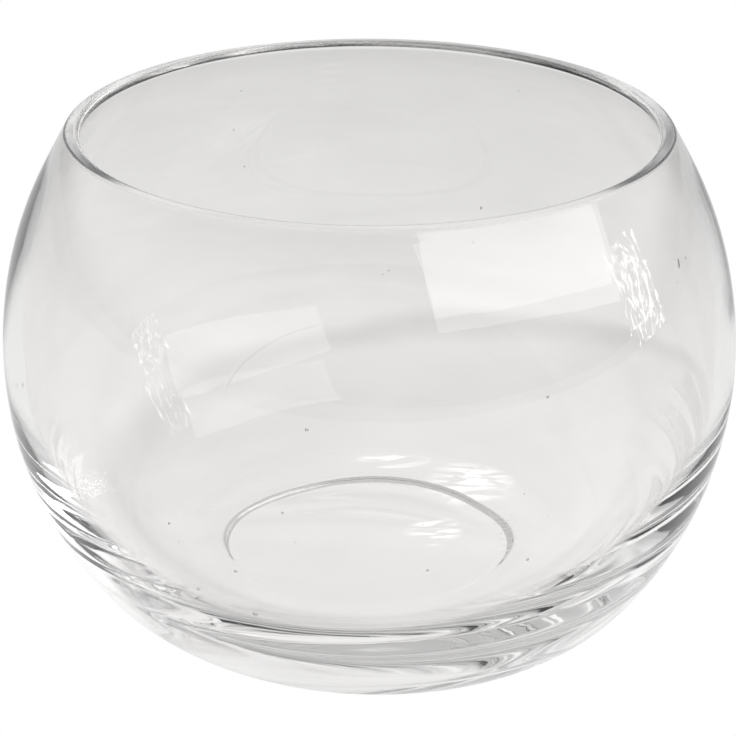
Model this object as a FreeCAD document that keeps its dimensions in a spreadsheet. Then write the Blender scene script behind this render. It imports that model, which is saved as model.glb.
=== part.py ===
import FreeCAD
import Part
import Sketcher
import math
import os

# Rose bowl vase: one piece of clear blown glass, a nearly spherical bowl with a wide mouth.
# It stands on a narrow ring around a shallow punt. The axis of the bowl is +Z, and the origin
# is at the middle of the ring, level with the surface that the bowl stands on.
# All lengths are in millimetres. A share has no unit.

SIZES = {
    # outside: the belly is the widest circle, and the rim and the foot lie inside it
    "belly_radius": 75.0,
    "belly_height": 55.5,
    "mouth_rise": 48.0,
    "mouth_inset": 15.2,
    "foot_inset": 24.0,
    # the shoulder is a little rounder, and the neck flatter, than one arc from belly to rim
    "shoulder_tighter_share": 0.03,
    "neck_flatter_share": 2.0,
    # walls
    "rim_wall": 3.9,
    "rim_round_share": 0.3,
    "belly_wall": 3.6,
    # floor: a shallow dish that turns up into the wall
    "floor_height": 7.2,
    "floor_inset": 29.0,
    "floor_dish": 1.5,
    "floor_corner_radius": 30.0,
    # foot: a slow curve leads outwards from the ring, and the hollow inside the ring has a low
    # steep side and a shallow dome
    "foot_edge_radius": 27.0,
    "sole_radius": 90.0,
    "sole_inset": 16.8,
    "ring_width": 1.8,
    "punt_step": 0.4,
    "punt_step_lean": 0.2,
    "punt_depth": 1.5,
}

FULL_TURN = 360

# Ends and middle of a stretch of the profile, as a sketch numbers them
START, END, MIDDLE = range(1, 4)

# The base line of the profile, which holds the origin, and the axis of the bowl: a sketch
# numbers these lines of its own downwards from -1
BASE_LINE, AXIS = range(-1, -3, -1)

# Radius of the one arc that would leave the belly upright and reach the rim
WHOLE_CURVE = "(sizes.mouth_rise^2 + sizes.mouth_inset^2) / (2 * sizes.mouth_inset)"


def make_sheet(doc):
    """The driving dimensions, one named cell for each."""
    sheet = doc.addObject("Spreadsheet::Sheet", "sizes")
    for row, (name, value) in enumerate(SIZES.items(), start=1):
        sheet.set("A%d" % row, name)
        sheet.set("B%d" % row, str(value))
        sheet.setAlias("B%d" % row, name)
    doc.recompute()
    return sheet


def point(x, y):
    return FreeCAD.Vector(x, y, 0)


def arc_about(centre, start, end):
    """The arc that turns anticlockwise about centre from start to end."""
    circle = Part.Circle(centre, FreeCAD.Vector(0, 0, 1), centre.distanceToPoint(start))
    from_angle = math.atan2(start.y - centre.y, start.x - centre.x)
    to_angle = math.atan2(end.y - centre.y, end.x - centre.x)
    return Part.ArcOfCircle(circle, from_angle, to_angle)


def upright_radius(rise, drop):
    """Radius of the arc that starts upright and has moved inwards by drop after this rise."""
    return (rise ** 2 + drop ** 2) / (2 * drop)


def beyond(start, through, length):
    """The point at this length from start, towards and past the other point."""
    return start.add(through.sub(start).normalize().multiply(length))


def crossings(first, first_radius, second, second_radius):
    """The two points where circles about first and second cross."""
    apart = first.distanceToPoint(second)
    along = (first_radius ** 2 - second_radius ** 2 + apart ** 2) / (2 * apart)
    aside = math.sqrt(first_radius ** 2 - along ** 2)
    step = second.sub(first).normalize()
    foot = first.add(point(step.x * along, step.y * along))
    offset = point(-step.y * aside, step.x * aside)
    return [foot.add(offset), foot.sub(offset)]


def rim_corner(size):
    """Where the outside and the top of the rim would meet if its edge weren't rounded."""
    return point(size["belly_radius"] - size["mouth_inset"], size["belly_height"] + size["mouth_rise"])


def foot_curves(size):
    """The punt, the ring that the bowl stands on, the sole, the foot edge and the side."""
    belly = point(size["belly_radius"], size["belly_height"])
    side_radius = upright_radius(belly.y, size["foot_inset"])
    side_middle = point(belly.x - side_radius, belly.y)
    edge_radius = size["foot_edge_radius"]
    sole_radius = size["sole_radius"]
    ring_outside = point(belly.x - size["foot_inset"] - size["sole_inset"], 0)
    sole_middle = point(ring_outside.x, sole_radius)
    choices = crossings(
        side_middle, side_radius - edge_radius, sole_middle, sole_radius - edge_radius
    )
    edge_middle = max(choices, key=lambda choice: choice.x)
    edge_foot = beyond(sole_middle, edge_middle, sole_radius)
    edge_top = beyond(side_middle, edge_middle, side_radius)
    ring_inside = point(ring_outside.x - size["ring_width"], 0)
    step_top = point(ring_inside.x - size["punt_step_lean"], size["punt_step"])
    punt_top = point(0, size["punt_depth"])
    punt_middle = point(0, punt_top.y - upright_radius(step_top.x, punt_top.y - step_top.y))
    return {
        "punt": arc_about(punt_middle, step_top, punt_top),
        "step": Part.LineSegment(step_top, ring_inside),
        "ring": Part.LineSegment(ring_inside, ring_outside),
        "sole": arc_about(sole_middle, ring_outside, edge_foot),
        "foot_edge": arc_about(edge_middle, edge_foot, edge_top),
        "lower_side": arc_about(side_middle, edge_top, belly),
    }


def mouth_curves(size):
    """Both sides of the glass from the belly up to the rim, which is flat with rounded edges."""
    belly = point(size["belly_radius"], size["belly_height"])
    rim_outside = rim_corner(size)
    whole_radius = upright_radius(size["mouth_rise"], size["mouth_inset"])
    shoulder_radius = (1 - size["shoulder_tighter_share"]) * whole_radius
    neck_radius = (1 + size["neck_flatter_share"]) * whole_radius
    shoulder_middle = point(belly.x - shoulder_radius, belly.y)
    choices = crossings(shoulder_middle, neck_radius - shoulder_radius, rim_outside, neck_radius)
    neck_middle = min(choices, key=lambda choice: choice.x)
    shoulder_top = beyond(neck_middle, shoulder_middle, neck_radius)

    hollow = point(belly.x - size["belly_wall"], belly.y)
    rim_inside = point(rim_outside.x - size["rim_wall"], rim_outside.y)
    upper_radius = upright_radius(rim_inside.y - hollow.y, hollow.x - rim_inside.x)
    upper_middle = point(hollow.x - upper_radius, hollow.y)

    edge_radius = size["rim_wall"] * size["rim_round_share"]
    edge_height = rim_outside.y - edge_radius
    outer_reach = math.sqrt((neck_radius - edge_radius) ** 2 - (edge_height - neck_middle.y) ** 2)
    outer_middle = point(neck_middle.x + outer_reach, edge_height)
    inner_reach = math.sqrt((upper_radius + edge_radius) ** 2 - (edge_height - upper_middle.y) ** 2)
    inner_middle = point(upper_middle.x + inner_reach, edge_height)
    outer_foot = beyond(neck_middle, outer_middle, neck_radius)
    outer_top = point(outer_middle.x, rim_outside.y)
    inner_foot = beyond(upper_middle, inner_middle, upper_radius)
    inner_top = point(inner_middle.x, rim_outside.y)
    return {
        "shoulder": arc_about(shoulder_middle, belly, shoulder_top),
        "neck": arc_about(neck_middle, shoulder_top, outer_foot),
        "rim_outer_edge": arc_about(outer_middle, outer_foot, outer_top),
        "rim": Part.LineSegment(outer_top, inner_top),
        "rim_inner_edge": arc_about(inner_middle, inner_top, inner_foot),
        "inner_upper": arc_about(upper_middle, hollow, inner_foot),
    }


def floor_curves(size):
    """The hollow from the belly down to the dished floor, and the middle of the floor's glass."""
    hollow = point(size["belly_radius"] - size["belly_wall"], size["belly_height"])
    floor_centre = point(0, size["floor_height"])
    lower_radius = upright_radius(hollow.y - floor_centre.y, size["floor_inset"])
    lower_middle = point(hollow.x - lower_radius, hollow.y)
    dish_radius = upright_radius(hollow.x - size["floor_inset"], size["floor_dish"])
    dish_middle = point(0, floor_centre.y + dish_radius)
    corner_radius = size["floor_corner_radius"]
    choices = crossings(
        lower_middle, lower_radius - corner_radius, dish_middle, dish_radius - corner_radius
    )
    corner_middle = max(choices, key=lambda choice: choice.x)
    corner_top = beyond(lower_middle, corner_middle, lower_radius)
    corner_foot = beyond(dish_middle, corner_middle, dish_radius)
    return {
        "inner_lower": arc_about(lower_middle, corner_top, hollow),
        "floor_corner": arc_about(corner_middle, corner_foot, corner_top),
        "floor": arc_about(dish_middle, floor_centre, corner_foot),
        "middle": Part.LineSegment(floor_centre, point(0, size["punt_depth"])),
    }


def draw_profile(sketch, size):
    """Half of the section through the glass, closed along the axis. Returns each curve's number."""
    curves = {**foot_curves(size), **mouth_curves(size), **floor_curves(size)}
    number = {name: sketch.addGeometry(curve, False) for name, curve in curves.items()}
    # The sides would pass through these points if nothing were rounded at the foot, floor and rim
    floor_radius = size["belly_radius"] - size["belly_wall"] - size["floor_inset"]
    rim_outside = rim_corner(size)
    marks = {
        "foot_mark": point(size["belly_radius"] - size["foot_inset"], 0),
        "floor_mark": point(floor_radius, size["floor_height"]),
        "dish_mark": point(floor_radius, size["floor_height"] + size["floor_dish"]),
        "rim_outer_mark": rim_outside,
        "rim_inner_mark": point(rim_outside.x - size["rim_wall"], rim_outside.y),
    }
    for name, place in marks.items():
        number[name] = sketch.addGeometry(Part.Point(place), True)
    return number


def join_profile(sketch, number):
    """How the curves of the profile meet, and which of them lie on the axis or the base line."""
    smooth_joints = [
        ("ring", END, "sole", START),
        ("sole", END, "foot_edge", START),
        ("foot_edge", END, "lower_side", START),
        ("lower_side", END, "shoulder", START),
        ("shoulder", END, "neck", START),
        ("neck", END, "rim_outer_edge", START),
        ("rim_outer_edge", END, "rim", START),
        ("rim", END, "rim_inner_edge", START),
        ("rim_inner_edge", END, "inner_upper", END),
        ("inner_upper", START, "inner_lower", END),
        ("inner_lower", START, "floor_corner", END),
        ("floor_corner", START, "floor", END),
    ]
    corners = [
        ("punt", START, "step", START),
        ("step", END, "ring", START),
        ("floor", START, "middle", START),
        ("middle", END, "punt", END),
    ]
    level_pairs = [
        ("lower_side", MIDDLE, "lower_side", END),
        ("inner_lower", MIDDLE, "inner_lower", END),
        ("inner_lower", END, "lower_side", END),
        ("floor_mark", START, "floor", START),
    ]
    upright_pairs = [("floor_mark", START, "dish_mark", START)]
    joints = {
        "Tangent": smooth_joints,
        "Coincident": corners,
        "Horizontal": level_pairs,
        "Vertical": upright_pairs,
    }
    for kind, pairs in joints.items():
        for first, first_end, second, second_end in pairs:
            sketch.addConstraint(
                Sketcher.Constraint(kind, number[first], first_end, number[second], second_end)
            )
    for level in ("ring", "rim"):
        sketch.addConstraint(Sketcher.Constraint("Horizontal", number[level]))
    placed = [
        ("ring", START, BASE_LINE),
        ("foot_mark", START, BASE_LINE),
        ("foot_mark", START, number["lower_side"]),
        ("floor_mark", START, number["inner_lower"]),
        ("dish_mark", START, number["floor"]),
        ("rim_outer_mark", START, number["neck"]),
        ("rim_outer_mark", START, number["rim"]),
        ("rim_inner_mark", START, number["inner_upper"]),
        ("rim_inner_mark", START, number["rim"]),
        ("punt", MIDDLE, AXIS),
        ("punt", END, AXIS),
        ("floor", MIDDLE, AXIS),
        ("floor", START, AXIS),
    ]
    for name, end, line in placed:
        sketch.addConstraint(Sketcher.Constraint("PointOnObject", number[name], end, line))


def size_profile(sketch, number, size):
    """Ties every size of the profile to its cell."""
    origin = (BASE_LINE, START)
    belly = (number["lower_side"], END)
    hollow = (number["inner_lower"], END)
    floor_mark = (number["floor_mark"], START)
    rim_outside = (number["rim_outer_mark"], START)
    rim_inside = (number["rim_inner_mark"], START)
    distances = [
        ("DistanceX", "belly_radius", origin, belly),
        ("DistanceY", "belly_height", origin, belly),
        ("DistanceX", "mouth_inset", rim_outside, belly),
        ("DistanceY", "mouth_rise", belly, rim_outside),
        ("DistanceX", "foot_inset", (number["foot_mark"], START), belly),
        ("DistanceX", "rim_wall", rim_inside, rim_outside),
        ("DistanceX", "belly_wall", hollow, belly),
        ("DistanceX", "floor_inset", floor_mark, hollow),
        ("DistanceY", "floor_height", origin, floor_mark),
        ("DistanceY", "floor_dish", floor_mark, (number["dish_mark"], START)),
        ("DistanceX", "sole_inset", (number["ring"], END), (number["foot_mark"], START)),
        ("DistanceX", "ring_width", (number["ring"], START), (number["ring"], END)),
        ("DistanceX", "punt_step_lean", (number["step"], START), (number["step"], END)),
        ("DistanceY", "punt_step", origin, (number["step"], START)),
        ("DistanceY", "punt_depth", origin, (number["punt"], END)),
    ]
    for kind, name, first, second in distances:
        add_sized(sketch, name, "sizes." + name, [kind, *first, *second, size[name]])
    radii = {
        "sole": "sole_radius",
        "foot_edge": "foot_edge_radius",
        "floor_corner": "floor_corner_radius",
    }
    for curve, name in radii.items():
        add_sized(sketch, name, "sizes." + name, ["Radius", number[curve], size[name]])
    edge_radius = size["rim_wall"] * size["rim_round_share"]
    whole_radius = upright_radius(size["mouth_rise"], size["mouth_inset"])
    shoulder_radius = (1 - size["shoulder_tighter_share"]) * whole_radius
    neck_radius = (1 + size["neck_flatter_share"]) * whole_radius
    formulas = {
        "rim_outer_edge": (edge_radius, "sizes.rim_wall * sizes.rim_round_share"),
        "rim_inner_edge": (edge_radius, "sizes.rim_wall * sizes.rim_round_share"),
        "shoulder": (shoulder_radius, "(1 - sizes.shoulder_tighter_share) * " + WHOLE_CURVE),
        "neck": (neck_radius, "(1 + sizes.neck_flatter_share) * " + WHOLE_CURVE),
    }
    for curve, (radius, formula) in formulas.items():
        add_sized(sketch, curve + "_radius", formula, ["Radius", number[curve], radius])


def add_sized(sketch, name, formula, parts):
    """One constraint of the profile that follows the sheet."""
    index = sketch.addConstraint(Sketcher.Constraint(*parts))
    sketch.renameConstraint(index, name)
    sketch.setExpression("Constraints." + name, formula)


def make_glass_bowl(doc, size):
    """The whole vase, turned about its axis."""
    body = doc.addObject("PartDesign::Body", "glass_bowl")
    body.Label = "glass_bowl"
    planes = {feature.Role: feature for feature in body.Origin.OriginFeatures}
    sketch = body.newObject("Sketcher::SketchObject", "glass_profile")
    sketch.AttachmentSupport = [(planes["XZ_Plane"], "")]
    sketch.MapMode = "FlatFace"
    number = draw_profile(sketch, size)
    join_profile(sketch, number)
    size_profile(sketch, number, size)
    doc.recompute()

    turned = body.newObject("PartDesign::Revolution", "turned_glass")
    turned.Profile = sketch
    turned.ReferenceAxis = (sketch, ["V_Axis"])
    turned.Angle = FULL_TURN
    body.Tip = turned
    doc.recompute()
    return body


def check_document(doc, parts):
    """Stops the build if any object failed or a piece isn't one valid solid."""
    for item in doc.Objects:
        if "Invalid" in item.State or "Error" in item.State:
            raise RuntimeError("%s did not build: %s" % (item.Name, item.State))
    for part in parts:
        shape = part.Shape
        if shape.isNull() or not shape.isValid() or len(shape.Solids) != 1:
            raise RuntimeError("%s is not one valid solid" % part.Label)


def main():
    doc = FreeCAD.newDocument("rose_bowl_vase")
    make_sheet(doc)
    parts = [make_glass_bowl(doc, SIZES)]
    check_document(doc, parts)
    os.makedirs("parts", exist_ok=True)
    for part in parts:
        part.Shape.exportStep("parts/%s.step" % part.Label)
        box = part.Shape.BoundBox
        print(
            "%s: volume %.0f mm3, x %.2f to %.2f, y %.2f to %.2f, z %.2f to %.2f"
            % (part.Label, part.Shape.Volume, box.XMin, box.XMax, box.YMin, box.YMax, box.ZMin, box.ZMax)
        )


main()
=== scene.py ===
import math
import random

import bpy
from mathutils import Matrix, Vector
from mathutils.geometry import intersect_sphere_sphere_2d


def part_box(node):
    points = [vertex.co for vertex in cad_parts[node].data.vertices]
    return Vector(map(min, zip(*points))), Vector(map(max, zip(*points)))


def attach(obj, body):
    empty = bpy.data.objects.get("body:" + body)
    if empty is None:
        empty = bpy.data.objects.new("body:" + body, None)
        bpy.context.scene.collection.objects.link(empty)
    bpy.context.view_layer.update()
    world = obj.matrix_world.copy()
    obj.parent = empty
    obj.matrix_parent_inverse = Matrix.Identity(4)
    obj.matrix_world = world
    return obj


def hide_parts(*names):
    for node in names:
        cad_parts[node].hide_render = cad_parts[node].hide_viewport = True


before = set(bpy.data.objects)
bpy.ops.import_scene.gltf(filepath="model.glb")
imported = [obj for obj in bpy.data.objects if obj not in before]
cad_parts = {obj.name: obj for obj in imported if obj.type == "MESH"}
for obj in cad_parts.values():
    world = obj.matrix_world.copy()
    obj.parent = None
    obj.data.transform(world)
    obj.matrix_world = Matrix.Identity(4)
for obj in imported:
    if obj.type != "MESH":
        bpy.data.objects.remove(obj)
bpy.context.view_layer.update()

bl_info = {
    "name": "Rose bowl vase",
    "version": (1, 0, 0),
    "blender": (4, 5, 0),
    "location": "View3D > Sidebar > Rose Bowl",
    "description": "A clear blown-glass rose bowl with its seeds, finish and studio",
    "category": "Add Mesh",
}

# The solid that the glass stands for, and what the frame says of it
NODE = "glass_bowl"
LOW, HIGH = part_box(NODE)
MM = 0.001
FULL_TURN = 2 * math.pi


# Settings that a user would change


class BowlShape(bpy.types.PropertyGroup):
    """The turned shape. Heights are above the surface that the bowl stands on."""

    belly_radius: bpy.props.FloatProperty(
        name="Belly radius", description="Outside radius at the widest circle",
        default=(HIGH.x - LOW.x) / 2, min=0.01, unit="LENGTH",
    )
    height: bpy.props.FloatProperty(
        name="Height", description="Height of the rim", default=HIGH.z, min=0.01, unit="LENGTH",
    )
    belly_height: bpy.props.FloatProperty(
        name="Belly height", description="Height of the widest circle", default=55.5 * MM, unit="LENGTH",
    )
    mouth_inset: bpy.props.FloatProperty(
        name="Mouth inset", description="How far the rim lies inside the belly",
        default=15.2 * MM, unit="LENGTH",
    )
    foot_inset: bpy.props.FloatProperty(
        name="Foot inset", description="How far the side would reach inwards at the surface below",
        default=24.0 * MM, unit="LENGTH",
    )
    shoulder_tighter: bpy.props.FloatProperty(
        name="Shoulder tighter", description="How much rounder the shoulder is than one whole curve",
        default=0.03, subtype="FACTOR",
    )
    neck_flatter: bpy.props.FloatProperty(
        name="Neck flatter", description="How much flatter the neck is than one whole curve", default=2.0,
    )
    rim_wall: bpy.props.FloatProperty(
        name="Rim wall", description="Thickness of the glass at the rim", default=3.9 * MM, unit="LENGTH",
    )
    rim_round: bpy.props.FloatProperty(
        name="Rim rounding", description="Radius of the fire-polished edges of the rim",
        default=1.17 * MM, unit="LENGTH",
    )
    belly_wall: bpy.props.FloatProperty(
        name="Belly wall", description="Thickness of the glass at the belly",
        default=3.6 * MM, unit="LENGTH",
    )
    floor_height: bpy.props.FloatProperty(
        name="Floor height", description="Lowest point of the hollow", default=7.2 * MM, unit="LENGTH",
    )
    floor_inset: bpy.props.FloatProperty(
        name="Floor inset", description="How far the floor lies inside the belly's inner wall",
        default=29.0 * MM, unit="LENGTH",
    )
    floor_dish: bpy.props.FloatProperty(
        name="Floor dish", description="Rise of the floor from its middle to its side",
        default=1.5 * MM, unit="LENGTH",
    )
    floor_corner: bpy.props.FloatProperty(
        name="Floor corner", description="Radius between the floor and the inner wall",
        default=30.0 * MM, unit="LENGTH",
    )
    foot_edge: bpy.props.FloatProperty(
        name="Foot edge", description="Radius between the sole and the side",
        default=27.0 * MM, unit="LENGTH",
    )
    sole_radius: bpy.props.FloatProperty(
        name="Sole radius", description="Radius of the slow curve outside the standing ring",
        default=90.0 * MM, unit="LENGTH",
    )
    sole_inset: bpy.props.FloatProperty(
        name="Sole inset", description="How far the standing ring lies inside the foot's reach",
        default=16.8 * MM, unit="LENGTH",
    )
    ring_width: bpy.props.FloatProperty(
        name="Ring width", description="Width of the ring that the bowl stands on",
        default=1.8 * MM, unit="LENGTH",
    )
    punt_step: bpy.props.FloatProperty(
        name="Punt step", description="Height of the steep side of the hollow under the foot",
        default=0.4 * MM, unit="LENGTH",
    )
    punt_step_lean: bpy.props.FloatProperty(
        name="Punt step lean", description="How far the steep side leans inwards",
        default=0.2 * MM, unit="LENGTH",
    )
    punt_depth: bpy.props.FloatProperty(
        name="Punt depth", description="Rise of the hollow under the foot", default=1.5 * MM, unit="LENGTH",
    )
    steps_round: bpy.props.IntProperty(
        name="Steps round", description="Faces round the bowl", default=288, min=24,
    )
    step_angle: bpy.props.FloatProperty(
        name="Step angle", description="Largest turn of one step of the outline",
        default=math.radians(3.0), min=math.radians(0.5), subtype="ANGLE",
    )


class BowlHandwork(bpy.types.PropertyGroup):
    """How far the blown bowl departs from a true turned one."""

    lean: bpy.props.FloatProperty(
        name="Lean", description="Sideways shift of the rim", default=-2.0 * MM, unit="LENGTH",
    )
    belly_shift: bpy.props.FloatProperty(
        name="Belly shift", description="Sideways shift of all the glass above the foot",
        default=-0.6 * MM, unit="LENGTH",
    )
    foot_reach: bpy.props.FloatProperty(
        name="Foot reach", description="Height over which the belly shift fades out",
        default=40 * MM, unit="LENGTH",
    )
    rim_tilt: bpy.props.FloatProperty(
        name="Rim tilt", description="Tilt of the rim, up on the right",
        default=math.radians(1.37), subtype="ANGLE",
    )
    reach: bpy.props.FloatProperty(
        name="Reach", description="How far below the rim the lean and the tilt fade out",
        default=110 * MM, unit="LENGTH",
    )
    floor_tilt: bpy.props.FloatProperty(
        name="Floor tilt", description="Tilt of the floor of the hollow, up on the right",
        default=math.radians(2.5), subtype="ANGLE",
    )
    floor_reach: bpy.props.FloatProperty(
        name="Floor reach", description="How far up the inner wall the tilt of the floor fades out",
        default=60 * MM, unit="LENGTH",
    )
    wave_height: bpy.props.FloatProperty(
        name="Wave height", description="Depth of the soft waves left in the wall by blowing",
        default=0.12 * MM, unit="LENGTH",
    )
    wave_size: bpy.props.FloatProperty(
        name="Wave size", description="Distance between the soft waves", default=28 * MM, unit="LENGTH",
    )
    wall_seeds: bpy.props.IntProperty(
        name="Wall seeds", description="Air seeds scattered in the wall", default=26, min=0,
    )
    base_seeds: bpy.props.IntProperty(
        name="Base seeds", description="Air seeds scattered in the base", default=12, min=0,
    )
    seed_radius: bpy.props.FloatProperty(
        name="Seed radius", description="Radius of the largest scattered seed",
        default=0.3 * MM, unit="LENGTH",
    )
    seed_pattern: bpy.props.IntProperty(
        name="Seed pattern", description="Number that the scatter of the seeds starts from", default=7,
    )


class GlassLook(bpy.types.PropertyGroup):
    """The finish of the glass."""

    tint: bpy.props.FloatVectorProperty(
        name="Tint", description="Colour of light that has crossed one wall",
        default=(0.972, 0.964, 0.957), size=3, min=0.0, max=1.0, subtype="COLOR",
    )
    streak_tint: bpy.props.FloatVectorProperty(
        name="Streak tint", description="Colour of the faint drawn streaks",
        default=(0.955, 0.947, 0.94), size=3, min=0.0, max=1.0, subtype="COLOR",
    )
    bend: bpy.props.FloatProperty(
        name="Bend", description="Index of refraction of the glass", default=1.5, min=1.0,
    )
    ripple_height: bpy.props.FloatProperty(
        name="Ripple height", description="Depth of the fine ripples of the surface",
        default=0.012 * MM, unit="LENGTH",
    )
    scratch_depth: bpy.props.FloatProperty(
        name="Scratch depth", description="Depth of the hairline scratches",
        default=0.002 * MM, unit="LENGTH",
    )
    scratch_roughness: bpy.props.FloatProperty(
        name="Scratch roughness", description="Roughness of a scratch", default=0.12, subtype="FACTOR",
    )
    smudge_roughness: bpy.props.FloatProperty(
        name="Smudge roughness", description="Roughness of the smudged patches",
        default=0.012, subtype="FACTOR",
    )
    rim_roughness: bpy.props.FloatProperty(
        name="Rim roughness", description="Roughness that the flame leaves on the rim",
        default=0.3, subtype="FACTOR",
    )
    scuff_roughness: bpy.props.FloatProperty(
        name="Scuff roughness", description="Roughness of the standing ring",
        default=0.18, subtype="FACTOR",
    )
    scuff_height: bpy.props.FloatProperty(
        name="Scuff height", description="How far up the standing ring is scuffed",
        default=0.15 * MM, unit="LENGTH",
    )


class StudioSetup(bpy.types.PropertyGroup):
    """The table, the lights and the camera."""

    table_size: bpy.props.FloatProperty(
        name="Table size", description="Side of the lit table", default=12.0, unit="LENGTH",
    )
    middle: bpy.props.FloatVectorProperty(
        name="Middle", description="The place that the camera turns about",
        default=(0, 0, 55.0 * MM), size=3, subtype="TRANSLATION", unit="LENGTH",
    )
    aim: bpy.props.FloatVectorProperty(
        name="Aim", description="The place in the middle of the picture",
        default=(-1.5 * MM, -1.9 * MM, 50.2 * MM), size=3, subtype="TRANSLATION", unit="LENGTH",
    )
    camera_distance: bpy.props.FloatProperty(
        name="Camera distance", description="Distance from the middle", default=400 * MM, unit="LENGTH",
    )
    camera_rise: bpy.props.FloatProperty(
        name="Camera rise", description="Angle of the camera above the horizon",
        default=math.radians(24.5), subtype="ANGLE",
    )
    camera_roll: bpy.props.FloatProperty(
        name="Camera roll", description="Turn of the camera about its own line of sight",
        default=math.radians(1.7), subtype="ANGLE",
    )
    lens: bpy.props.FloatProperty(
        name="Lens", description="Focal length in millimetres", default=93.9, min=1.0,
    )


SETTINGS = {
    "rose_bowl_shape": BowlShape,
    "rose_bowl_handwork": BowlHandwork,
    "rose_bowl_glass": GlassLook,
    "rose_bowl_studio": StudioSetup,
}


# Small helpers for modelling


def deselect_all():
    for item in bpy.context.selected_objects:
        item.select_set(False)


def make_active(piece):
    """The piece alone is selected and active."""
    deselect_all()
    piece.select_set(True)
    bpy.context.view_layer.objects.active = piece


def select_vertices(piece, wanted):
    """In edit mode, selects the vertices that pass the test, and no others."""
    bpy.ops.mesh.select_mode(type="VERT")
    bpy.ops.mesh.select_all(action="DESELECT")
    bpy.ops.object.mode_set(mode="OBJECT")
    for vertex in piece.data.vertices:
        vertex.select = wanted(vertex)
    bpy.ops.object.mode_set(mode="EDIT")


def apply_modifier(piece, kind, **settings):
    """Adds one modifier to the piece and applies it."""
    modifier = piece.modifiers.new(kind.title(), kind)
    for name, value in settings.items():
        setattr(modifier, name, value)
    make_active(piece)
    bpy.ops.object.modifier_apply(modifier=modifier.name)


# The outline of the glass, as points (distance from the axis, height)


def upright_radius(rise, drop):
    """Radius of the arc that starts upright and has moved inwards by drop after this rise."""
    return (rise**2 + drop**2) / (2 * drop)


def beyond(start, through, length):
    """The point at this length from start, towards and past the other point."""
    return start + (through - start).normalized() * length


def foot_legs(size):
    """From the middle of the punt over the standing ring and the foot edge to the belly."""
    belly = Vector((size.belly_radius, size.belly_height))
    side_radius = upright_radius(belly.y, size.foot_inset)
    side_middle = Vector((belly.x - side_radius, belly.y))
    ring_outside = Vector((belly.x - size.foot_inset - size.sole_inset, 0))
    sole_middle = Vector((ring_outside.x, size.sole_radius))
    choices = intersect_sphere_sphere_2d(
        side_middle, side_radius - size.foot_edge, sole_middle, size.sole_radius - size.foot_edge
    )
    edge_middle = max(choices, key=lambda choice: choice.x)
    ring_inside = Vector((ring_outside.x - size.ring_width, 0))
    step_top = Vector((ring_inside.x - size.punt_step_lean, size.punt_step))
    dome_rise = size.punt_depth - size.punt_step
    dome_middle = Vector((0, size.punt_depth - upright_radius(step_top.x, dome_rise)))
    return [
        (dome_middle, step_top),
        (None, ring_inside),
        (None, ring_outside),
        (sole_middle, beyond(sole_middle, edge_middle, size.sole_radius)),
        (edge_middle, beyond(side_middle, edge_middle, side_radius)),
        (side_middle, belly),
    ]


def mouth_legs(size):
    """From the belly up the outside, over the rim and down the inside to the belly again."""
    belly = Vector((size.belly_radius, size.belly_height))
    rim_outside = Vector((belly.x - size.mouth_inset, size.height))
    whole_radius = upright_radius(rim_outside.y - belly.y, size.mouth_inset)
    shoulder_radius = (1 - size.shoulder_tighter) * whole_radius
    neck_radius = (1 + size.neck_flatter) * whole_radius
    shoulder_middle = Vector((belly.x - shoulder_radius, belly.y))
    choices = intersect_sphere_sphere_2d(
        shoulder_middle, neck_radius - shoulder_radius, rim_outside, neck_radius
    )
    neck_middle = min(choices, key=lambda choice: choice.x)
    hollow = Vector((belly.x - size.belly_wall, belly.y))
    rim_inside = Vector((rim_outside.x - size.rim_wall, rim_outside.y))
    upper_radius = upright_radius(rim_inside.y - hollow.y, hollow.x - rim_inside.x)
    upper_middle = Vector((hollow.x - upper_radius, hollow.y))
    edge_height = size.height - size.rim_round
    outer_reach = math.sqrt((neck_radius - size.rim_round) ** 2 - (edge_height - neck_middle.y) ** 2)
    outer_middle = Vector((neck_middle.x + outer_reach, edge_height))
    inner_reach = math.sqrt((upper_radius + size.rim_round) ** 2 - (edge_height - upper_middle.y) ** 2)
    inner_middle = Vector((upper_middle.x + inner_reach, edge_height))
    return [
        (shoulder_middle, beyond(neck_middle, shoulder_middle, neck_radius)),
        (neck_middle, beyond(neck_middle, outer_middle, neck_radius)),
        (outer_middle, Vector((outer_middle.x, size.height))),
        (None, Vector((inner_middle.x, size.height))),
        (inner_middle, beyond(upper_middle, inner_middle, upper_radius)),
        (upper_middle, hollow),
    ]


def floor_legs(size):
    """From the belly down the inside to the middle of the floor."""
    hollow = Vector((size.belly_radius - size.belly_wall, size.belly_height))
    lower_radius = upright_radius(hollow.y - size.floor_height, size.floor_inset)
    lower_middle = Vector((hollow.x - lower_radius, hollow.y))
    dish_radius = upright_radius(hollow.x - size.floor_inset, size.floor_dish)
    dish_middle = Vector((0, size.floor_height + dish_radius))
    choices = intersect_sphere_sphere_2d(
        lower_middle, lower_radius - size.floor_corner, dish_middle, dish_radius - size.floor_corner
    )
    corner_middle = max(choices, key=lambda choice: choice.x)
    return [
        (lower_middle, beyond(lower_middle, corner_middle, lower_radius)),
        (corner_middle, beyond(dish_middle, corner_middle, dish_radius)),
        (dish_middle, Vector((0, size.floor_height))),
    ]


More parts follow.
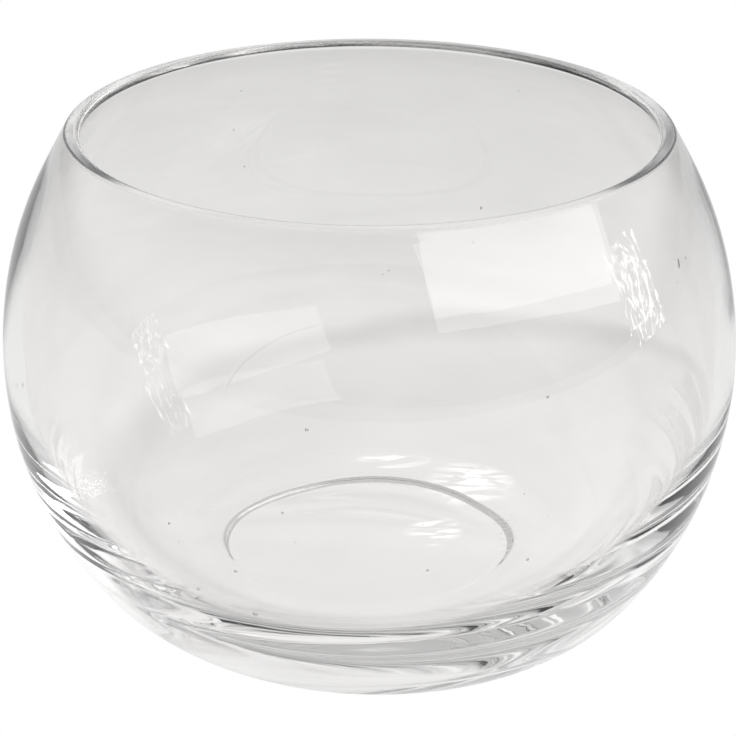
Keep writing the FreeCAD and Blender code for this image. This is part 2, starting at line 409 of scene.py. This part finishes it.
def draw_outline(start, legs, step_angle, longest_step):
    """Draws the legs from one vertex, in edit mode: an arc about its centre, or a straight run."""
    bpy.ops.mesh.primitive_plane_add(location=(0, 0, 0))
    bpy.ops.object.mode_set(mode="EDIT")
    bpy.ops.mesh.merge(type="CENTER")
    bpy.ops.transform.translate(value=(start.x, 0, start.y))
    here = start
    for centre, end in legs:
        if centre is None:
            run = end - here
            bpy.ops.mesh.extrude_region_move(TRANSFORM_OT_translate={"value": (run.x, 0, run.y)})
        else:
            turn = (here - centre).angle_signed(end - centre)
            length = abs(turn) * (end - centre).length
            steps = max(math.ceil(abs(turn) / step_angle), math.ceil(length / longest_step), 2)
            bpy.ops.mesh.spin(
                steps=steps, angle=turn, center=(centre.x, 0, centre.y), axis=(0, -1, 0)
            )
        here = end
    bpy.ops.object.mode_set(mode="OBJECT")
    return bpy.context.active_object


class ROSEBOWL_OT_turn_glass(bpy.types.Operator):
    """Draws the outline of the glass and turns it about the axis"""

    bl_idname = "rosebowl.turn_glass"
    bl_label = "Turn the glass"

    RIM_MARK = "rim"
    LONGEST_STEP = 1.5 * MM
    SAME_PLACE = 0.02 * MM

    def execute(self, context):
        size = context.scene.rose_bowl_shape
        deselect_all()
        legs = foot_legs(size) + mouth_legs(size) + floor_legs(size)
        start = Vector((0, size.punt_depth))
        glass = draw_outline(start, legs, size.step_angle, self.LONGEST_STEP)
        glass.name = glass.data.name = "clear_glass_bowl"
        bpy.ops.object.mode_set(mode="EDIT")
        bpy.ops.mesh.select_all(action="SELECT")
        bpy.ops.mesh.spin(steps=size.steps_round, angle=FULL_TURN, center=(0, 0, 0), axis=(0, 0, 1))
        bpy.ops.mesh.select_all(action="SELECT")
        bpy.ops.mesh.remove_doubles(threshold=self.SAME_PLACE)
        bpy.ops.mesh.normals_make_consistent(inside=False)
        bpy.ops.object.mode_set(mode="OBJECT")
        bpy.ops.object.shade_smooth()
        self.mark_rim(glass, size)
        return {"FINISHED"}

    def mark_rim(self, glass, size):
        """Marks the rim, for the softer finish that the flame leaves there."""
        mark = glass.data.attributes.new(self.RIM_MARK, "FLOAT", "POINT")
        edge = size.height - size.rim_round
        for vertex, value in zip(glass.data.vertices, mark.data):
            value.value = min(max((vertex.co.z - edge) / size.rim_round, 0.0), 1.0)


class ROSEBOWL_OT_blow_glass(bpy.types.Operator):
    """Gives the turned glass the uneven shape of a blown one"""

    bl_idname = "rosebowl.blow_glass"
    bl_label = "Blow the glass"

    # The glass below this height has no waves
    STILL_BELOW = 14 * MM

    def execute(self, context):
        size = context.scene.rose_bowl_shape
        hand = context.scene.rose_bowl_handwork
        glass = bpy.data.objects["clear_glass_bowl"]
        make_active(glass)
        bpy.ops.object.mode_set(mode="EDIT")
        select_vertices(glass, lambda vertex: vertex.co.z > hand.foot_reach)
        bpy.ops.transform.translate(
            value=(hand.belly_shift, 0, 0), use_proportional_edit=True,
            proportional_edit_falloff="LINEAR", proportional_size=hand.foot_reach,
        )
        rim_edge = size.height - size.rim_round / 2
        select_vertices(glass, lambda vertex: vertex.co.z > rim_edge)
        bpy.ops.transform.translate(
            value=(hand.lean, 0, 0), use_proportional_edit=True,
            proportional_edit_falloff="LINEAR", proportional_size=hand.reach,
        )
        bpy.ops.transform.rotate(
            value=hand.rim_tilt, orient_axis="Y", center_override=(0, 0, size.height),
            use_proportional_edit=True, proportional_edit_falloff="SHARP",
            proportional_size=hand.reach,
        )
        self.tilt_floor(glass, size, hand)
        bpy.ops.object.mode_set(mode="OBJECT")
        self.make_waves(glass, hand)
        return {"FINISHED"}

    def tilt_floor(self, glass, size, hand):
        """Tilts the floor of the hollow, while the outside is hidden and so stays where it is."""
        middle = Vector((0, 0, size.belly_height))
        select_vertices(glass, lambda vertex: vertex.normal.dot(vertex.co - middle) > 0)
        bpy.ops.mesh.hide(unselected=False)
        reach = size.belly_radius - size.belly_wall - size.floor_inset - size.floor_corner / 3
        top = size.floor_height + size.floor_dish
        select_vertices(
            glass,
            lambda vertex: not vertex.hide and vertex.co.z < top and vertex.co.xy.length < reach,
        )
        bpy.ops.transform.rotate(
            value=hand.floor_tilt, orient_axis="Y", center_override=(0, 0, size.floor_height),
            use_proportional_edit=True, proportional_edit_falloff="SMOOTH",
            proportional_size=hand.floor_reach,
        )
        bpy.ops.mesh.reveal(select=False)

    def make_waves(self, glass, hand):
        """Soft waves that fade out towards the foot, which stays flat to stand on."""
        grip = glass.vertex_groups.new(name="above_foot")
        for vertex in glass.data.vertices:
            share = (vertex.co.z - self.STILL_BELOW) / (hand.foot_reach - self.STILL_BELOW)
            grip.add([vertex.index], min(max(share, 0.0), 1.0), "REPLACE")
        waves = bpy.data.textures.new("blown_waves", "CLOUDS")
        waves.noise_scale = hand.wave_size
        waves.noise_depth = 1
        apply_modifier(
            glass, "DISPLACE", texture=waves, texture_coords="LOCAL", mid_level=0.5,
            strength=hand.wave_height, vertex_group=grip.name,
        )
        glass.vertex_groups.clear()


class ROSEBOWL_OT_trap_seeds(bpy.types.Operator):
    """Traps small air seeds in the wall and the base, as melted glass holds them"""

    bl_idname = "rosebowl.trap_seeds"
    bl_label = "Trap the seeds"

    # Seeds that show in the photograph: angle from the front, height, radius and stretch
    KNOWN_SEEDS = [
        (-9, 71, 0.30, 1.0),
        (-17, 31, 0.42, 1.2),
        (-29, 48, 0.24, 1.0),
        (-12, 55, 0.22, 1.0),
        (-26, 34, 0.30, 1.1),
        (-19, 41, 0.30, 1.0),
        (57, 89, 0.30, 3.6),
        (25, 75, 0.26, 1.0),
        (20, 49, 0.24, 1.0),
        (23, 44, 0.24, 1.3),
    ]
    # Heights of the scattered wall seeds, reach of the base seeds, and sizes and stretches to pick from
    WALL_HEIGHTS = (12 * MM, 96 * MM)
    BASE_REACH = 44 * MM
    SIZE_SHARES = (0.4, 1.0)
    STRETCHES = (1.0, 1.1, 1.8)
    # How deep a seed lies, as a share of the glass, and the least glass over it, in radii
    WALL_DEPTHS = (0.35, 0.65)
    BASE_DEPTHS = (0.2, 0.7)
    LEAST_GLASS = 1.5
    # Where the search for the glass starts, and how far past the first surface it goes on
    FAR = 200 * MM
    ABOVE_FLOOR = 50 * MM
    STEP_IN = 0.05 * MM

    def execute(self, context):
        hand = context.scene.rose_bowl_handwork
        glass = bpy.data.objects["clear_glass_bowl"]
        chance = random.Random(hand.seed_pattern)
        seeds = [
            (math.radians(angle), height * MM, radius * MM, stretch)
            for angle, height, radius, stretch in self.KNOWN_SEEDS
        ]
        for _ in range(hand.wall_seeds):
            height = chance.uniform(*self.WALL_HEIGHTS)
            radius = chance.uniform(*self.SIZE_SHARES) * hand.seed_radius
            angle = chance.uniform(0, FULL_TURN)
            seeds.append((angle, height, radius, chance.choice(self.STRETCHES)))
        places = []
        for angle, height, radius, stretch in seeds:
            inwards = Vector((-math.sin(angle), math.cos(angle), 0))
            start = Vector((0, 0, height)) - inwards * self.FAR
            places.append((start, inwards, chance.uniform(*self.WALL_DEPTHS), radius, stretch))
        for _ in range(hand.base_seeds):
            angle = chance.uniform(0, FULL_TURN)
            reach = self.BASE_REACH * math.sqrt(chance.random())
            start = Vector((reach * math.cos(angle), reach * math.sin(angle), self.ABOVE_FLOOR))
            radius = chance.uniform(*self.SIZE_SHARES) * hand.seed_radius
            places.append((start, Vector((0, 0, -1)), chance.uniform(*self.BASE_DEPTHS), radius, 1.0))
        model = self.make_seed()
        seeds = [self.set_seed(glass, model, *place) for place in places]
        bpy.data.objects.remove(model)
        make_active(glass)
        for seed in seeds:
            if seed:
                seed.select_set(True)
        bpy.ops.object.join()
        return {"FINISHED"}

    def make_seed(self):
        """One round bubble. Its faces point into the air that it holds, out of the glass."""
        deselect_all()
        bpy.ops.mesh.primitive_ico_sphere_add(subdivisions=3, radius=1.0, location=(0, 0, 0))
        bpy.ops.object.mode_set(mode="EDIT")
        bpy.ops.mesh.select_all(action="SELECT")
        bpy.ops.mesh.flip_normals()
        bpy.ops.object.mode_set(mode="OBJECT")
        bpy.ops.object.shade_smooth()
        return bpy.context.active_object

    def set_seed(self, glass, model, start, way, share, radius, stretch):
        """Puts a copy of the seed between the first two surfaces on this way, if it fits there."""
        met, outer, _, _ = glass.ray_cast(start, way)
        if not met:
            return None
        met, inner, _, _ = glass.ray_cast(outer + way * self.STEP_IN, way)
        if not met or (inner - outer).length < 2 * radius * self.LEAST_GLASS:
            return None
        seed = model.copy()
        seed.data = model.data.copy()
        bpy.context.collection.objects.link(seed)
        spare = radius * self.LEAST_GLASS / (inner - outer).length
        seed.location = outer.lerp(inner, min(max(share, spare), 1 - spare))
        seed.scale = (radius, radius, radius * stretch)
        return seed


# The finish of the glass


def new_node(tree, kind, place, **values):
    """Adds a node at this place in the graph, and sets its inputs and properties by name."""
    node = tree.nodes.new(kind)
    node.location = place
    for name, value in values.items():
        if name in node.inputs:
            node.inputs[name].default_value = value
        else:
            setattr(node, name, value)
    return node


def new_range(tree, place, source, target=(0.0, 1.0)):
    """Adds a node that stretches one range of values onto another, and clamps what lies outside."""
    node = new_node(tree, "ShaderNodeMapRange", place)
    ends = {"From Min": source[0], "From Max": source[1], "To Min": target[0], "To Max": target[1]}
    for name, value in ends.items():
        node.inputs[name].default_value = value
    return node


def set_ramp(node, stops, interpolation="LINEAR"):
    """Gives a colour ramp these stops, each a place and a colour."""
    ramp = node.color_ramp
    ramp.interpolation = interpolation
    while len(ramp.elements) < len(stops):
        ramp.elements.new(1.0)
    for element, (place, colour) in zip(ramp.elements, stops):
        element.position = place
        element.color = (*colour, 1.0)


class ROSEBOWL_OT_finish_glass(bpy.types.Operator):
    """Makes the clear glass material and gives it to the bowl"""

    bl_idname = "rosebowl.finish_glass"
    bl_label = "Finish the glass"

    # Repeats per metre along each axis, and the turn of the pattern
    STREAK_SCALE = (30, 30, 260)
    STREAK_TURN = (math.radians(7), math.radians(4), 0)
    STREAK_EDGE = (0.42, 0.72)
    RIPPLE_SCALE = 90.0
    SCRATCH_SCALE = (140, 140, 900)
    SCRATCH_TURN = (math.radians(35), math.radians(-20), 0)
    # Share of a cell of the scratch pattern, and the noise values where a worn patch starts and is full
    HAIRLINE_WIDTH = 0.012
    WORN_SCALE = 38.0
    WORN_EDGE = (0.58, 0.7)

    def execute(self, context):
        look = context.scene.rose_bowl_glass
        glass = bpy.data.objects["clear_glass_bowl"]
        material = bpy.data.materials.new("clear_glass")
        material.use_nodes = True
        tree = material.node_tree
        shader = tree.nodes["Principled BSDF"]
        shader.inputs["Transmission Weight"].default_value = 1.0
        shader.inputs["IOR"].default_value = look.bend
        place = new_node(tree, "ShaderNodeTexCoord", (-1500, 0))
        self.colour_streaks(tree, place.outputs["Object"], shader, look)
        self.handle_surface(tree, place.outputs["Object"], shader, look)
        glass.data.materials.clear()
        glass.data.materials.append(material)
        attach(glass, "root")
        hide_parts(NODE)
        return {"FINISHED"}

    def colour_streaks(self, tree, place, shader, look):
        """Faint streaks that were drawn round the bowl as it was blown."""
        draw = new_node(
            tree, "ShaderNodeMapping", (-1250, 300), Scale=self.STREAK_SCALE, Rotation=self.STREAK_TURN
        )
        streaks = new_node(
            tree, "ShaderNodeTexNoise", (-1000, 300), Scale=1.0, Detail=4.0, Roughness=0.6, Distortion=0.6
        )
        bands = new_node(tree, "ShaderNodeValToRGB", (-750, 300))
        set_ramp(bands, list(zip(self.STREAK_EDGE, (look.tint, look.streak_tint))))
        tree.links.new(place, draw.inputs["Vector"])
        tree.links.new(draw.outputs["Vector"], streaks.inputs["Vector"])
        tree.links.new(streaks.outputs["Fac"], bands.inputs["Fac"])
        tree.links.new(bands.outputs["Color"], shader.inputs["Base Color"])

    def handle_surface(self, tree, place, shader, look):
        """Ripples, hairline scratches, smudges from hands and the scuffed standing ring."""
        ripple = new_node(
            tree, "ShaderNodeTexNoise", (-1250, -100), Scale=self.RIPPLE_SCALE, Detail=2.0, Roughness=0.4
        )
        lines = new_node(
            tree, "ShaderNodeMapping", (-1250, -350), Scale=self.SCRATCH_SCALE, Rotation=self.SCRATCH_TURN
        )
        scratch = new_node(
            tree, "ShaderNodeTexVoronoi", (-1000, -350), feature="DISTANCE_TO_EDGE", Scale=1.0
        )
        hairline = new_range(tree, (-750, -350), (0.0, self.HAIRLINE_WIDTH), (1.0, 0.0))
        patch = new_node(tree, "ShaderNodeTexNoise", (-1000, -650), Scale=self.WORN_SCALE, Detail=3.0)
        worn = new_range(tree, (-750, -650), self.WORN_EDGE)
        marks = new_node(tree, "ShaderNodeMath", (-500, -400), operation="MULTIPLY")
        split = new_node(tree, "ShaderNodeSeparateXYZ", (-1250, -950))
        ring = new_range(tree, (-1000, -950), (look.scuff_height, 0.0))
        smudge = new_node(tree, "ShaderNodeMath", (-500, -650), operation="MULTIPLY")
        smudge.inputs[1].default_value = look.smudge_roughness
        scuff = new_node(tree, "ShaderNodeMath", (-500, -950), operation="MULTIPLY_ADD")
        scuff.inputs[1].default_value = look.scuff_roughness
        rim = new_node(tree, "ShaderNodeAttribute", (-1000, -1250), attribute_name="rim")
        soft = new_node(tree, "ShaderNodeMath", (-500, -1200), operation="MULTIPLY_ADD")
        soft.inputs[1].default_value = look.rim_roughness
        dull = new_node(tree, "ShaderNodeMath", (-250, -600), operation="MULTIPLY_ADD", use_clamp=True)
        dull.inputs[1].default_value = look.scratch_roughness
        relief = new_node(tree, "ShaderNodeMath", (-500, -100), operation="MULTIPLY")
        relief.inputs[1].default_value = look.ripple_height
        cut = new_node(tree, "ShaderNodeMath", (-250, -300), operation="MULTIPLY_ADD")
        cut.inputs[1].default_value = -look.scratch_depth
        bump = new_node(tree, "ShaderNodeBump", (0, -200), Strength=1.0, Distance=1.0)
        for vector in (ripple, lines, patch, split):
            tree.links.new(place, vector.inputs[0])
        tree.links.new(lines.outputs["Vector"], scratch.inputs["Vector"])
        tree.links.new(scratch.outputs["Distance"], hairline.inputs["Value"])
        tree.links.new(patch.outputs["Fac"], worn.inputs["Value"])
        tree.links.new(hairline.outputs["Result"], marks.inputs[0])
        tree.links.new(worn.outputs["Result"], marks.inputs[1])
        tree.links.new(split.outputs["Z"], ring.inputs["Value"])
        tree.links.new(worn.outputs["Result"], smudge.inputs[0])
        tree.links.new(ring.outputs["Result"], scuff.inputs[0])
        tree.links.new(rim.outputs["Fac"], soft.inputs[0])
        tree.links.new(smudge.outputs[0], soft.inputs[2])
        tree.links.new(soft.outputs[0], scuff.inputs[2])
        tree.links.new(marks.outputs[0], dull.inputs[0])
        tree.links.new(scuff.outputs[0], dull.inputs[2])
        tree.links.new(dull.outputs[0], shader.inputs["Roughness"])
        tree.links.new(ripple.outputs["Fac"], relief.inputs[0])
        tree.links.new(marks.outputs[0], cut.inputs[0])
        tree.links.new(relief.outputs[0], cut.inputs[2])
        tree.links.new(cut.outputs[0], bump.inputs["Height"])
        tree.links.new(bump.outputs["Normal"], shader.inputs["Normal"])


# The studio


class ROSEBOWL_OT_set_stage(bpy.types.Operator):
    """Sets up the table, the lights and the camera"""

    bl_idname = "rosebowl.set_stage"
    bl_label = "Set the stage"

    TABLE_DROP = 0.1 * MM
    LIGHT_BOUNCES = 48
    MIRROR_BOUNCES = 24
    # Grey of the room by the height of the line of sight: 0 is level and 1 is straight up
    ROOM_GREYS = [(0.0, 0.45), (0.25, 1.1), (0.45, 1.0), (0.66, 0.5), (0.9, 0.5)]
    ROOM_SWAY = 0.15
    # Painted shade: the table's glow fades from front to back, between these places along Y and these tones
    PAINTED_FALLOFF_REACH = (-0.3, 0.6)
    PAINTED_FALLOFF_TONES = (1.05, 0.6)
    # Painted shadow: the soft shade and glow that the bowl would cast on the table, painted into its glow,
    # by the reach from its middle
    SHADE_MIDDLE = (42 * MM, 39 * MM, 0)
    SHADE_REACH = (136 * MM, 130 * MM, 1)
    SHADE_DRIFT = (14 * MM, 14 * MM, 0)
    SHADE_GREYS = [(0.0, 0.97), (0.26, 0.96), (0.45, 0.91), (0.6, 0.91), (0.71, 0.79), (0.8, 0.95)]
    SHADE_FULL = 1.05
    SHADE_MOTTLE = 0.02
    SHADE_NOISE = 26.0
    MOTTLE_EDGE = (0.3, 0.7)
    # Painted glints where the bowl would gather the light on the table: middle and reach of each glint, in
    # millimetres
    GLINTS = [((5, 41), (10, 4)), ((24, 31), (12, 10)), ((15, 9), (7, 9))]
    GLINT_GLOW = 1.1
    GLINT_SCALE = (90, 330, 1)
    GLINT_TURN = (0, 0, math.radians(12))
    GLINT_EDGE = (0.45, 0.62)
    LIGHT_AIM = 55 * MM
    LIGHT_DISTANCE = 2.0
    CREASE_SCALE = (5, 2.4, 1)
    CREASE_EDGE = (0.52, 0.6)

    def execute(self, context):
        studio = context.scene.rose_bowl_studio
        deselect_all()
        bpy.ops.mesh.primitive_plane_add(size=studio.table_size, location=(0, 0, -self.TABLE_DROP))
        table = context.active_object
        table.name = "glowing_table_with_painted_shade"
        self.paint_table_glow(table)
        self.light_room(context.scene)
        self.hang_lights()
        self.place_camera(context.scene, studio)
        return {"FINISHED"}

    def paint_table_glow(self, table):
        """A pale table that glows: plain white to look at, and where the glass shows it, softly graded with
        painted shade, a painted shadow of the bowl and painted glints.
        """
        material = bpy.data.materials.new("glowing_table_with_painted_shade")
        material.use_nodes = True
        tree = material.node_tree
        tree.nodes.clear()
        place = new_node(tree, "ShaderNodeTexCoord", (-1300, 0))
        split = new_node(tree, "ShaderNodeSeparateXYZ", (-700, 200))
        # Painted shade: the glow falls from the front of the table to the back
        fade = new_range(tree, (-500, 200), self.PAINTED_FALLOFF_REACH, self.PAINTED_FALLOFF_TONES)
        sway = new_node(tree, "ShaderNodeTexNoise", (-1100, -300), Scale=self.SHADE_NOISE, Detail=3.0)
        drift = new_node(tree, "ShaderNodeVectorMath", (-900, -200), operation="MULTIPLY_ADD")
        drift.inputs[1].default_value = self.SHADE_DRIFT
        # Painted shadow and glow of the bowl on the table, in rings about a drifting middle
        spread = new_node(
            tree, "ShaderNodeMapping", (-700, -200), vector_type="TEXTURE",
            Location=self.SHADE_MIDDLE, Scale=self.SHADE_REACH,
        )
        reach = new_node(tree, "ShaderNodeVectorMath", (-500, -200), operation="LENGTH")
        shade = new_node(tree, "ShaderNodeValToRGB", (-300, -200))
        set_ramp(shade, [(at, (grey, grey, grey)) for at, grey in self.SHADE_GREYS], "EASE")
        path = new_node(tree, "ShaderNodeLightPath", (-500, 500))
        tone = new_node(tree, "ShaderNodeMath", (-150, 100), operation="MULTIPLY")
        # Painted mottling of the bowl's painted shade and glow
        tones = [self.SHADE_FULL * (1 + side * self.SHADE_MOTTLE) for side in (-1, 1)]
        mottle = new_range(tree, (-300, -500), self.MOTTLE_EDGE, tones)
        full = new_node(tree, "ShaderNodeMath", (150, 100), operation="MULTIPLY_ADD")
        mix = new_node(tree, "ShaderNodeMix", (300, 200), data_type="FLOAT")
        mix.inputs[3].default_value = 1.0
        glow = new_node(tree, "ShaderNodeEmission", (500, 0))
        output = new_node(tree, "ShaderNodeOutputMaterial", (700, 0))
        tree.links.new(place.outputs["Object"], split.inputs[0])
        tree.links.new(place.outputs["Object"], sway.inputs["Vector"])
        tree.links.new(sway.outputs["Color"], drift.inputs[0])
        tree.links.new(place.outputs["Object"], drift.inputs[2])
        tree.links.new(drift.outputs[0], spread.inputs["Vector"])
        tree.links.new(spread.outputs[0], reach.inputs[0])
        tree.links.new(reach.outputs["Value"], shade.inputs["Fac"])
        tree.links.new(split.outputs["Y"], fade.inputs["Value"])
        tree.links.new(fade.outputs["Result"], tone.inputs[0])
        tree.links.new(shade.outputs["Color"], tone.inputs[1])
        tree.links.new(sway.outputs["Fac"], mottle.inputs["Value"])
        tree.links.new(tone.outputs[0], full.inputs[0])
        tree.links.new(mottle.outputs["Result"], full.inputs[1])
        # Painted glints of gathered light, added to the glow
        tree.links.new(self.paint_glints(tree, place.outputs["Object"]), full.inputs[2])
        # Seen straight the table is plain white; through the glass it shows the painted shade and glints
        tree.links.new(path.outputs["Is Camera Ray"], mix.inputs[0])
        tree.links.new(full.outputs[0], mix.inputs[2])
        tree.links.new(mix.outputs[0], glow.inputs["Strength"])
        tree.links.new(glow.outputs[0], output.inputs["Surface"])
        table.data.materials.append(material)

    def paint_glints(self, tree, place):
        """Painted streaks of light that fade out towards the edge of each glint."""
        lines = new_node(
            tree, "ShaderNodeMapping", (-1100, -800), Scale=self.GLINT_SCALE, Rotation=self.GLINT_TURN
        )
        streaks = new_node(
            tree, "ShaderNodeTexNoise", (-900, -800), Scale=1.0, Detail=3.0, Distortion=0.8
        )
        bright = new_range(tree, (-700, -800), self.GLINT_EDGE, (0.0, self.GLINT_GLOW))
        tree.links.new(place, lines.inputs["Vector"])
        tree.links.new(lines.outputs["Vector"], streaks.inputs["Vector"])
        tree.links.new(streaks.outputs["Fac"], bright.inputs["Value"])
        total = None
        for count, (middle, reach) in enumerate(self.GLINTS):
            level = -1100 - 250 * count
            # Each glint is a painted pool of light, brightest in its middle
            spot = new_node(
                tree, "ShaderNodeMapping", (-1100, level), vector_type="TEXTURE",
                Location=(middle[0] * MM, middle[1] * MM, 0), Scale=(reach[0] * MM, reach[1] * MM, 1),
            )
            ball = new_node(tree, "ShaderNodeTexGradient", (-900, level), gradient_type="SPHERICAL")
            glint = new_node(tree, "ShaderNodeMath", (-700, level), operation="MULTIPLY_ADD")
            tree.links.new(place, spot.inputs["Vector"])
            tree.links.new(spot.outputs["Vector"], ball.inputs["Vector"])
            tree.links.new(ball.outputs["Fac"], glint.inputs[0])
            tree.links.new(bright.outputs["Result"], glint.inputs[1])
            if total:
                tree.links.new(total, glint.inputs[2])
            else:
                glint.inputs[2].default_value = 0.0
            total = glint.outputs[0]
        return total

    def light_room(self, scene):
        """A room that is plain white to look at, and that the glass mirrors in soft bands."""
        world = bpy.data.worlds.new("soft_room")
        world.use_nodes = True
        tree = world.node_tree
        way = new_node(tree, "ShaderNodeTexCoord", (-1100, 0))
        drift = new_node(tree, "ShaderNodeTexNoise", (-900, -200), Scale=2.0, Detail=2.0)
        split = new_node(tree, "ShaderNodeSeparateXYZ", (-900, 100))
        sway = new_range(tree, (-700, -200), (0.0, 1.0), (-self.ROOM_SWAY, self.ROOM_SWAY))
        rise = new_node(tree, "ShaderNodeMath", (-500, 0), operation="ADD")
        bands = new_node(tree, "ShaderNodeValToRGB", (-300, 0))
        set_ramp(bands, [(at, (grey, grey, grey)) for at, grey in self.ROOM_GREYS], "EASE")
        tree.links.new(way.outputs["Generated"], split.inputs[0])
        tree.links.new(way.outputs["Generated"], drift.inputs["Vector"])
        tree.links.new(drift.outputs["Fac"], sway.inputs["Value"])
        tree.links.new(split.outputs["Z"], rise.inputs[0])
        tree.links.new(sway.outputs["Result"], rise.inputs[1])
        tree.links.new(rise.outputs[0], bands.inputs[0])
        path = new_node(tree, "ShaderNodeLightPath", (-300, 300))
        seen = new_node(tree, "ShaderNodeMix", (-50, 100), data_type="RGBA")
        seen.inputs[7].default_value = (1, 1, 1, 1)
        tree.links.new(path.outputs["Is Camera Ray"], seen.inputs[0])
        tree.links.new(bands.outputs["Color"], seen.inputs[6])
        tree.links.new(seen.outputs[2], tree.nodes["Background"].inputs["Color"])
        scene.world = world
        scene.view_settings.view_transform = "Standard"
        scene.cycles.max_bounces = self.LIGHT_BOUNCES
        scene.cycles.transmission_bounces = self.LIGHT_BOUNCES
        scene.cycles.glossy_bounces = self.MIRROR_BOUNCES

    def hang_light(self, name, azimuth, elevation, size, glow, roll=0.0):
        """A soft box that faces the bowl. Its azimuth is 0 in front, and grows to the right."""
        azimuth, elevation, roll = (math.radians(angle) for angle in (azimuth, elevation, roll))
        across = Vector((math.cos(azimuth), math.sin(azimuth), 0))
        level = Vector((math.sin(azimuth), -math.cos(azimuth), 0))
        away = level * math.cos(elevation) + Vector((0, 0, math.sin(elevation)))
        up = away.cross(across)
        turn = Matrix((across, up, away)).transposed() @ Matrix.Rotation(roll, 3, "Z")
        place = Vector((0, 0, self.LIGHT_AIM)) + away * self.LIGHT_DISTANCE
        bpy.ops.object.light_add(type="AREA", location=place, rotation=turn.to_euler())
        light = bpy.context.active_object
        light.name = light.data.name = name
        light.data.shape = "RECTANGLE"
        light.data.size, light.data.size_y = size
        light.data.energy = glow * math.pi * size[0] * size[1]
        light.visible_camera = False
        return light

    def hang_lights(self):
        """A window to the right, and beside it a crumpled sheet that sparkles."""
        self.hang_light("window_light", 57, 32.5, (2.4, 0.94), 1.8, roll=-12)
        foil = self.hang_light("crumpled_foil_light", 93, 9, (0.5, 0.62), 9.0)
        foil.data.use_nodes = True
        tree = foil.data.node_tree
        spot = new_node(tree, "ShaderNodeNewGeometry", (-900, 0))
        fold = new_node(tree, "ShaderNodeMapping", (-700, 0), Scale=self.CREASE_SCALE)
        crease = new_node(
            tree, "ShaderNodeTexNoise", (-500, 0), Scale=1.0, Detail=5.0, Roughness=0.7, Distortion=2.5
        )
        bright = new_range(tree, (-300, 0), self.CREASE_EDGE)
        tree.links.new(spot.outputs["Parametric"], fold.inputs["Vector"])
        tree.links.new(fold.outputs["Vector"], crease.inputs["Vector"])
        tree.links.new(crease.outputs["Fac"], bright.inputs["Value"])
        tree.links.new(bright.outputs["Result"], tree.nodes["Emission"].inputs["Strength"])

    def place_camera(self, scene, studio):
        """The camera at the photograph's angle, aimed a little beside the middle of the bowl."""
        back = Vector((0, -math.cos(studio.camera_rise), math.sin(studio.camera_rise)))
        bpy.ops.object.camera_add(location=Vector(studio.middle) + back * studio.camera_distance)
        camera = bpy.context.active_object
        camera.name = "studio_camera"
        camera.data.lens = studio.lens
        camera.data.clip_start = studio.camera_distance / 100
        look = Vector(studio.aim) - camera.location
        turn = look.to_track_quat("-Z", "Y").to_matrix() @ Matrix.Rotation(studio.camera_roll, 3, "Z")
        camera.rotation_euler = turn.to_euler()
        scene.camera = camera


OPERATORS = (
    ROSEBOWL_OT_turn_glass,
    ROSEBOWL_OT_blow_glass,
    ROSEBOWL_OT_trap_seeds,
    ROSEBOWL_OT_finish_glass,
    ROSEBOWL_OT_set_stage,
)


class ROSEBOWL_PT_panel(bpy.types.Panel):
    """Lists the steps that make the bowl"""

    bl_idname = "ROSEBOWL_PT_panel"
    bl_label = "Rose Bowl"
    bl_space_type = "VIEW_3D"
    bl_region_type = "UI"
    bl_category = "Rose Bowl"

    def draw(self, context):
        for operator in OPERATORS:
            self.layout.operator(operator.bl_idname)
        for name in SETTINGS:
            box = self.layout.box()
            group = getattr(context.scene, name)
            for setting in group.bl_rna.properties:
                if setting.identifier not in ("rna_type", "name"):
                    box.prop(group, setting.identifier)


CLASSES = (*SETTINGS.values(), *OPERATORS, ROSEBOWL_PT_panel)


def register():
    for item in CLASSES:
        bpy.utils.register_class(item)
    for name, group in SETTINGS.items():
        setattr(bpy.types.Scene, name, bpy.props.PointerProperty(type=group))


def unregister():
    for name in SETTINGS:
        delattr(bpy.types.Scene, name)
    for item in reversed(CLASSES):
        bpy.utils.unregister_class(item)


def main():
    register()
    bpy.ops.rosebowl.turn_glass()
    bpy.ops.rosebowl.blow_glass()
    bpy.ops.rosebowl.trap_seeds()
    bpy.ops.rosebowl.finish_glass()
    bpy.ops.rosebowl.set_stage()


if __name__ == "__main__":
    main()
